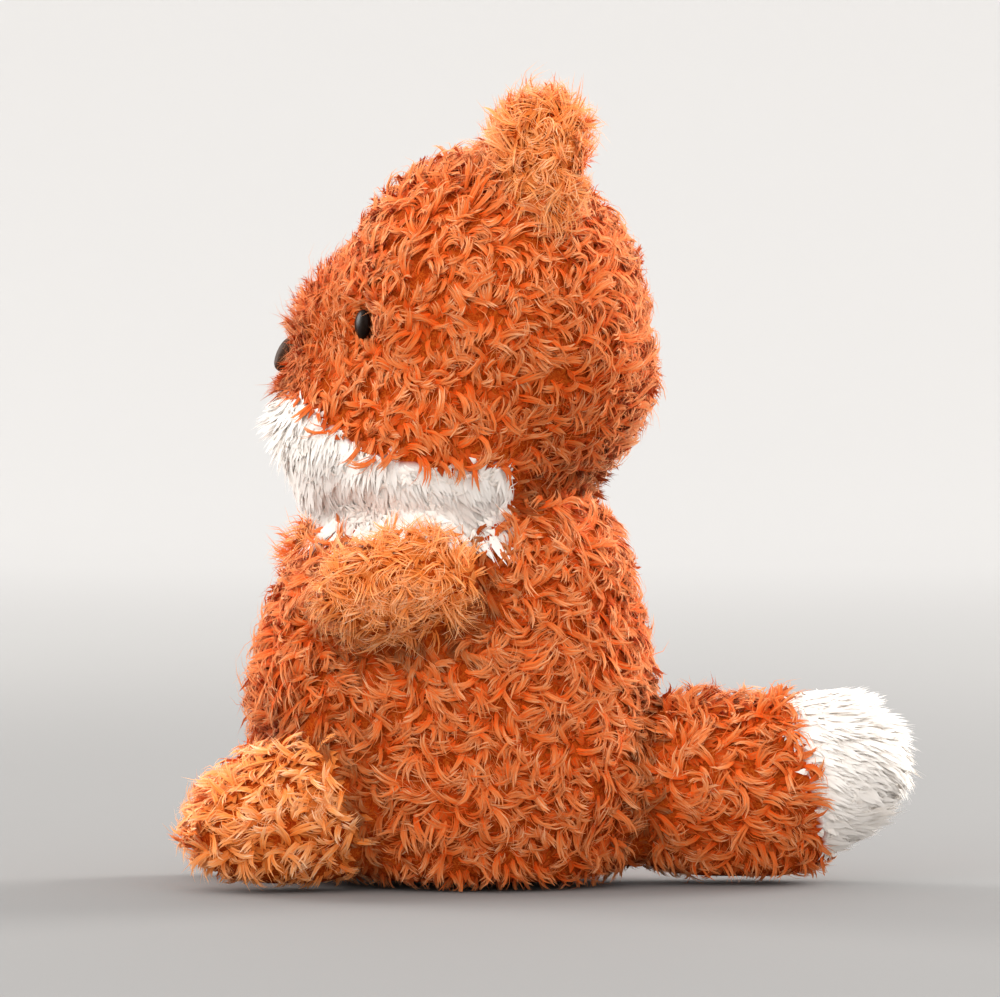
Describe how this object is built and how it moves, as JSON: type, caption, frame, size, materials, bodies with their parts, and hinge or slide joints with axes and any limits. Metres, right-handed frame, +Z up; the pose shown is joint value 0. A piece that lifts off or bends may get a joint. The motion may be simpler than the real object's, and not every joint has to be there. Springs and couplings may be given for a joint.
{
  "type": "plush toy fox",
  "caption": "Sitting stuffed fox toy in curly orange pile, with a white lower face, a thick white-tipped tail, stub arms and legs, bead eyes and a soft brown nose.",
  "frame": {"origin": "under the middle of the trunk's flat seat, on the floor", "axes": "+Z up, the toy faces -Y, and its left side is +X"},
  "size_m": [0.1188, 0.2089, 0.2271],
  "materials": {
    "orange_pile": "curly orange plush, rust in its depth and lighter at the tips",
    "pale_orange_pile": "curly plush in a lighter orange",
    "white_pile": "straighter warm white plush",
    "eye_bead": "glossy black bead",
    "nose": "satin dark brown"
  },
  "bodies": {
    "root": {"head": "orange_pile", "muzzle": "orange_pile", "cheeks": "white_pile", "ear_left": "pale_orange_pile", "ear_right": "pale_orange_pile", "eye_left": "eye_bead", "eye_right": "eye_bead", "nose": "nose", "trunk": "orange_pile", "arm_left": "pale_orange_pile", "arm_right": "pale_orange_pile", "leg_left": "pale_orange_pile", "leg_right": "pale_orange_pile", "tail": "orange_pile", "tail_tip": "white_pile"}
  },
  "joints": []
}
